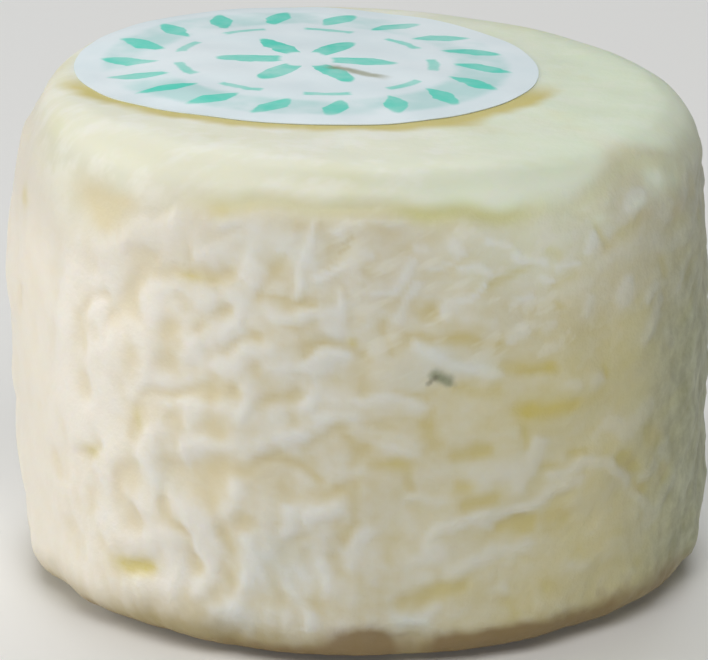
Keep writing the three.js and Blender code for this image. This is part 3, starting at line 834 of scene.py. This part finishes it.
rindFinish = {
    "ridge": colour(228, 228, 221),
    "valley": colour(212, 199, 153),
    "warm": colour(249, 242, 230),
    # painted shade under the cap's edge at the upper left
    "shadedUpperLeft": colour(216, 211, 196),
    "straw": colour(211, 200, 127),
    # painted light just under the cap at the upper right
    "litUpperRidge": colour(238, 241, 230),
    "litUpperValley": colour(226, 226, 188),
    "tan": colour(208, 194, 148),
    "lip": colour(230, 232, 194),
    "cap": colour(233, 234, 214),
    "capShade": colour(222, 235, 209),
    # painted light on the cap's lip
    "capLipLit": colour(244, 255, 232),
    # painted shade on the cap's lip
    "capLipShade": colour(206, 207, 192),
    "flake": colour(244, 245, 238),
    "butter": colour(226, 226, 190),
    "crease": colour(216, 214, 140),
    "gold": colour(214, 200, 120),
    # golden moist cheese and painted shadow along the label's front edge
    "moist": colour(205, 190, 98),
    # painted shade of the right side, mottled between these two
    "shadeDark": colour(134, 140, 106),
    "shadePale": colour(200, 206, 178),
    "hollow": colour(224, 213, 176),
    "pale": colour(226, 234, 236),
    "strand": colour(236, 235, 220),
    # olive-brown painted shade at the foot
    "foot": colour(170, 154, 102),
    # brown painted shade where the foot's rim lifts off the floor
    "footShadeBrown": colour(142, 116, 70),
    "mould": colour(138, 144, 114),
    "mouldCore": colour(96, 88, 66),
    "roughness": 0.42,
    "roughnessSpread": 0.2,
    "grainDepth": 0.25 * mm,
    "grainStrength": 0.3,
    "scatter": 0.45,               # light that passes under the surface
    "scatterRadius": (1, 0.8, 0.5),
    "scatterScale": 1.5 * mm,
    "strandSlant": (-25, 4.5),     # degrees, and how drawn out
    "flakeSlant": (-30, 2),
    "goldShadowRing": (20.4, 22.2),      # mm from the label's middle
}

# Where the tints set in, in mm: across to the right, across to the left, or up.
tintSpans = {
    "farLeft": (16, 27),
    "warmLeft": (2, 26),
    "yellowRight": (-6, 24),
    "yellowUp": (24, 36),
    "upperRight": (2, 16),
    "upperRightEnd": (16, 24),
    "upperRightUp": (29, 37),
    "strandsRight": (-10, 4),
    "strandsRightEnd": (14, 22),
    "strandsUp": (22, 31),
    "shadedUpperLeft": (6, 20),
    "shadedUpperLeftUp": (30, 37),
    "shadeRight": (20, 29),
    "shadeUp": (22, 38),
    "capShadeRight": (-8, 26),
    "capLipUp": (40.5, 42.5),
    "capLipLitRight": (0, 12),
    "capLipShadeLeft": (6, 18),
    "fewFlakesRight": (0, 14),
    "moistShadowFront": (2, 9),          # towards the front, from the label's middle
    "moistShadowWide": (2, 12),
    "moistShadowUp": (38, 40),
    "footUp": (0.3, 4.8),
    "highFootLeft": (4, 14),       # the painted shade of the foot climbs higher here
    "highFootLeftEnd": (17, 23),
}

# Tints laid over wall and cap alike: the share stored on the rind, its strength and its colour.
overTints = [
    ("strawShare", 0.9, "hollow"),
    ("tanShare", 0.5, "tan"),
    ("lipShare", 0.6, "lip"),
]

# The mould: where each tuft starts and ends, in degrees and mm, its half width in mm, and its tint.
mouldTufts = [
    ((281.9, 26.25), (284.0, 25.7), 0.65, "mould"),
    ((282.6, 25.9), (285.2, 25.2), 0.4, "mould"),
    ((280.7, 25.55), (282.0, 26.0), 0.32, "mouldCore"),
]


def wallPoint(turn, level):
    radius, angle = drum["shoulderRadius"] + drum["bulge"], math.radians(turn)
    return (radius * math.cos(angle) * mm, radius * math.sin(angle) * mm, level * mm)


def within(wire, span):
    return wire.between(*tintSpans[span])


def laid(share, tone, tint):
    return share.mixed(tone, rindFinish[tint])


def finishRind(cheese):
    material, shader, place = newFinish("crottinRind", rindFinish["roughness"],
                                        Subsurface_Weight=rindFinish["scatter"],
                                        Subsurface_Radius=rindFinish["scatterRadius"],
                                        Subsurface_Scale=rindFinish["scatterScale"])
    x, y, z = place.parts()
    leftward = -1 * x
    fold = place.attribute("foldShare")
    cap = place.attribute("capShare")
    cloudy = place.noise(9, 3)
    mottle = place.noise(2.4, 3)
    speckle = place.noise(0.8, 3)

    # the wall: pale crests, straw-coloured folds, warmer to the left and yellower to the right
    farLeft = within(leftward, "farLeft")
    ridge = (fold + 0.3 * (mottle - 0.5) * (1 - 0.7 * farLeft) + 0.08 * farLeft).between(0.1, 0.9)
    yellowed = within(x, "yellowRight") * (0.5 + cloudy)
    # less yellow higher up, and lighter and greener just under the cap at the upper right: painted light
    yellowed = yellowed * (1 - 0.7 * within(z, "yellowUp"))
    upper = within(x, "upperRight") * (1 - 0.6 * within(x, "upperRightEnd"))
    upper = upper * within(z, "upperRightUp")
    valley = (0.95 * yellowed).mixed(rindFinish["valley"], rindFinish["straw"])
    valley = laid(upper, valley, "litUpperValley")
    crest = (0.42 * yellowed).mixed(rindFinish["ridge"], rindFinish["straw"])
    crest = laid(upper, crest, "litUpperRidge")
    warmth = within(leftward, "warmLeft")
    valley = laid(0.58 * warmth, valley, "warm")
    crest = laid(0.7 * warmth, crest, "warm")
    tone = ridge.mixed(valley, crest)
    strands = place.slanted(*rindFinish["strandSlant"]).noise(1.3, 2).between(0.52, 0.66)
    strands = strands * within(x, "strandsRight")
    strands = strands * (1 - 0.7 * within(x, "strandsRightEnd"))
    strands = strands * within(z, "strandsUp")
    tone = laid(0.5 * strands, tone, "strand")
    # greyer and darker under the cap's edge at the upper left: painted shade
    shadedUpperLeft = within(leftward, "shadedUpperLeft") * within(z, "shadedUpperLeftUp")
    tone = laid(0.5 * shadedUpperLeft, tone, "shadedUpperLeft")
    # the right side darkened in mottled olive and grey-green: painted shade, with some of the rind's own
    # mottling
    patchyShade = place.noise(2.2, 3, 0.6).between(0.2, 0.8)
    patchyShade = patchyShade.mixed(rindFinish["shadeDark"], rindFinish["shadePale"])
    shade = within(x, "shadeRight") * (1 - 0.55 * within(z, "shadeUp"))
    tone = (0.76 * shade).mixed(tone, patchyShade)
    tone = laid(0.8 * place.attribute("paleShare"), tone, "pale")

    # the cap: whitish flakes and buttery clouds, greener to the right
    capShade = within(x + 14 * (cloudy - 0.5), "capShadeRight")
    capTone = capShade.mixed(rindFinish["cap"], rindFinish["capShade"])
    capTone = laid(0.5 * cloudy.between(0.5, 0.7), capTone, "butter")
    # the cap's rounded lip: painted light towards the right, painted shade to the left
    capLip = 1 - within(z, "capLipUp")
    lightLip = 0.95 * within(x, "capLipLitRight") * capLip
    capTone = laid(lightLip, capTone, "capLipLit")
    shadedLip = 0.4 * within(leftward, "capLipShadeLeft") * capLip
    capTone = laid(shadedLip, capTone, "capLipShade")
    flakes = place.slanted(*rindFinish["flakeSlant"]).noise(2.6, 3, 0.55).between(0.42, 0.66)
    flakes = flakes * (0.5 - 0.3 * within(x, "fewFlakesRight"))
    capTone = laid(flakes, capTone, "flake")
    tone = cap.mixed(tone, capTone)
    tone = laid(place.attribute("creaseShare") * (0.4 + 0.7 * cloudy), tone, "crease")
    for share, strength, tint in overTints:
        tone = laid(strength * place.attribute(share), tone, tint)

    # golden where it stays moist, in hollows; and along the label's front edge, moist cheese with the
    # painted shadow of the edge
    moist = place.attribute("goldShare") * (0.1 + 1.4 * mottle)
    tone = laid(moist, tone, "gold")
    alongX, alongY = x - label["centre"][0], y - label["centre"][1]
    fromLabel = (alongX * alongX + alongY * alongY) ** 0.5 + 2.6 * (place.noise(5, 2) - 0.5)
    fromLabel = fromLabel - 0.8 * within(alongX, "moistShadowWide")
    inner, outer = rindFinish["goldShadowRing"]
    front = within(-1 * alongY, "moistShadowFront") * within(z, "moistShadowUp")
    tone = laid(0.9 * front * (1 - fromLabel.between(inner, outer)), tone, "moist")

    # tufts of mould, and painted shade at the foot, olive-brown
    for start, end, halfWidth, tint in mouldTufts:
        near = place.awayFromLine(wallPoint(*start), wallPoint(*end)) + 0.35 * (speckle - 0.5)
        tone = laid(0.85 * (1 - near.between(0.1 * halfWidth, 1.4 * halfWidth)), tone, tint)
    # olive-brown painted shade over the lowest millimetres, reaching higher at the lower left
    climb = within(leftward, "highFootLeft") * (1 - within(leftward, "highFootLeftEnd"))
    above = z + 3 * (cloudy - 0.5) + 1.5 * (mottle - 0.5) - 1.5 * climb
    low = 1 - within(above, "footUp")
    tone = laid(0.9 * low, tone, "foot")
    # brown painted shade in the listed places along the foot's rim
    footShadeBrown = place.attribute("footShadeShare") + 0.7 * (mottle - 0.5)
    tone = laid(0.85 * footShadeBrown.between(0.15, 0.95), tone, "footShadeBrown")
    connect(tone, shader, "Base Color")

    grain = (place.noise(0.7, 2, 0.6) + 0.6 * place.noise(2.2, 1)) * (1 - 0.7 * cap)
    bump = grain.node("ShaderNodeBump", None, {"Strength": rindFinish["grainStrength"],
                                               "Distance": rindFinish["grainDepth"], "Height": grain})
    connect(bump, shader, "Normal")
    connect(rindFinish["roughness"] + rindFinish["roughnessSpread"] * mottle, shader, "Roughness")
    cheese.data.materials.append(material)


labelFinish = {
    "paper": colour(238, 249, 254),
    "damp": colour(227, 242, 248),
    "tint": colour(160, 218, 214),
    "ink": colour(64, 218, 196),
    "stain": colour(142, 140, 92),
    "roughness": 0.45,
    "bleed": 0.035,            # how far the damp has spread the print, of the radius
    "bandAt": 0.76,            # of the radius
    "leaves": 18,
    "leafTwist": 9,
    "leafSlimness": 7,
    "petals": 6,
    "petalReach": 0.4,
    "rosetteHole": 0.1,
    "dashes": 9,
    "dashesAt": 0.55,
    "stainFrom": (-3.2, 2.4),  # mm on the cap
    "stainTo": (2.8, -1.2),
    "stainWidth": 1.0,
}


def finishLabel(paper):
    material, shader, place = newFinish("printedPaper", labelFinish["roughness"])
    x, y = place.parts()[:2]
    cloudy = place.noise(8, 3)
    smear = place.noise(1.6, 2)
    px = (x - label["centre"][0]) / label["radius"] + labelFinish["bleed"] * (smear - 0.5)
    py = (y - label["centre"][1]) / label["radius"] + labelFinish["bleed"] * (smear - 0.5)
    away = (px * px + py * py) ** 0.5
    angle = px.maths("ARCTAN2", py, px)
    tone = cloudy.between(0.3, 0.7).mixed(labelFinish["paper"], labelFinish["damp"])

    # a faint band, a wreath of leaves on it, and a rosette in the middle
    fromBand = away - labelFinish["bandAt"]
    offBand = fromBand.maths("ABSOLUTE", fromBand)
    band = 1 - offBand.between(0.08, 0.14)
    tone = (0.6 * band * cloudy.between(0.35, 0.65)).mixed(tone, labelFinish["tint"])
    twist = labelFinish["leafTwist"] * fromBand
    wave = angle.maths("COSINE", angle * labelFinish["leaves"] + twist)
    leaf = (wave - labelFinish["leafSlimness"] * offBand).between(0.05, 0.3)
    petals = 0.55 + 0.45 * angle.maths("COSINE", angle * labelFinish["petals"])
    rosette = (labelFinish["petalReach"] * petals - away).between(0, 0.03)
    rosette = rosette * (away - labelFinish["rosetteHole"]).between(0, 0.03)
    ring = 1 - away.maths("ABSOLUTE", away - labelFinish["dashesAt"]).between(0.012, 0.03)
    dashes = ring * angle.maths("COSINE", angle * labelFinish["dashes"]).between(-0.3, 0.1)
    motifs = leaf.maths("MAXIMUM", leaf, rosette)
    motifs = motifs.maths("MAXIMUM", motifs, 0.8 * dashes)
    ink = motifs * (0.6 + 0.7 * smear) * (0.4 + 0.9 * cloudy)
    tone = ink.mixed(tone, labelFinish["ink"])

    # a damp streak, drawn out along one line
    (fromX, fromY), (toX, toY) = labelFinish["stainFrom"], labelFinish["stainTo"]
    length = math.hypot(toX - fromX, toY - fromY)
    alongX, alongY = (toX - fromX) / length, (toY - fromY) / length
    along = (x - fromX) * alongX + (y - fromY) * alongY
    aside = (y - fromY) * alongX - (x - fromX) * alongY + 1.2 * (smear - 0.5)
    streak = along.between(0, 1.5) * (1 - along.between(length - 2, length))
    width = labelFinish["stainWidth"]
    streak = streak * (1 - aside.maths("ABSOLUTE", aside).between(0.2 * width, width))
    tone = (0.8 * streak * (0.4 + cloudy)).mixed(tone, labelFinish["stain"])
    connect(tone, shader, "Base Color")
    paper.data.materials.append(material)


view = {
    "elevation": 17.57,
    "distance": 500,
    "focalPixels": 5774,
    "imageWidth": 708,
    "imageHeight": 660,
    "axisPixel": (359.8, 320.7),   # where the drum's middle falls in the image
    "sensor": 36,
}


def addCamera():
    elevation = math.radians(view["elevation"])
    away = view["distance"] * mm
    bpy.ops.object.camera_add(location=(0, -away * math.cos(elevation),
                                        drum["height"] / 2 * mm + away * math.sin(elevation)),
                              rotation=(math.pi / 2 - elevation, 0, 0))
    camera = bpy.context.object
    camera.data.sensor_width = view["sensor"]
    camera.data.lens = view["sensor"] * view["focalPixels"] / view["imageWidth"]
    camera.data.shift_x = (view["imageWidth"] / 2 - view["axisPixel"][0]) / view["imageWidth"]
    camera.data.shift_y = (view["axisPixel"][1] - view["imageHeight"] / 2) / view["imageWidth"]
    camera.data.clip_start = 0.01
    bpy.context.scene.camera = camera


studio = {
    "keyWatts": 2.35,        # from the left, low
    "keySize": 0.4,
    "keyPlace": (-0.66, 0.0, 0.26),
    "keyTint": (1, 0.97, 0.93),
    "fillWatts": 2.85,       # from the front, high
    "fillSize": 0.4,
    "fillPlace": (0.0, -0.45, 0.55),
    "fillTint": (1, 0.99, 0.97),
    "backWatts": 1.95,       # from behind, high
    "backSize": 0.5,
    "backPlace": (0.0, 0.45, 0.55),
    "backTint": (0.97, 0.99, 1),
    "skyTint": (0.95, 0.97, 1, 1),
    "skyStrength": 0.01,
    "floorTone": (0.8, 0.8, 0.79, 1),
    "floorRoughness": 0.8,
    "floorGlow": 0.05,
    "floorSize": 6,
}


def addLight(name, place, size, watts, tint):
    bpy.ops.object.light_add(type="AREA", location=place)
    lamp = bpy.context.object
    lamp.name = name
    lamp.data.size = size
    lamp.data.energy = watts
    lamp.data.color = tint
    aim = bpy.data.objects["wrinkledCheese"].location - lamp.location
    lamp.rotation_euler = aim.to_track_quat("-Z", "Y").to_euler()


def addStudio():
    clearSelection()
    bpy.ops.mesh.primitive_plane_add(size=studio["floorSize"])
    floor = bpy.context.object
    floor.name = "paleFloor"
    material, shader = newFinish("paleFloor", studio["floorRoughness"])[:2]
    shader.inputs["Base Color"].default_value = studio["floorTone"]
    shader.inputs["Emission Color"].default_value = (1, 1, 1, 1)
    shader.inputs["Emission Strength"].default_value = studio["floorGlow"]
    floor.data.materials.append(material)
    for name in ("key", "fill", "back"):
        addLight(name, *[studio[name + part] for part in ("Place", "Size", "Watts", "Tint")])
    world = bpy.data.worlds.new("softSky")
    world.use_nodes = True
    world.node_tree.nodes["Background"].inputs["Color"].default_value = studio["skyTint"]
    world.node_tree.nodes["Background"].inputs["Strength"].default_value = studio["skyStrength"]
    bpy.context.scene.world = world
    bpy.context.scene.view_settings.view_transform = "Standard"


cheese = makeCheese()
paper = makeLabel(cheese)
finishRind(cheese)
finishLabel(paper)
for piece, node, slotName in ((cheese, "cheese", "rind"), (paper, "paper_label", "label_paper")):
    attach(piece, "root")
    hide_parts(node)
addCamera()
addStudio()
print("studio set")
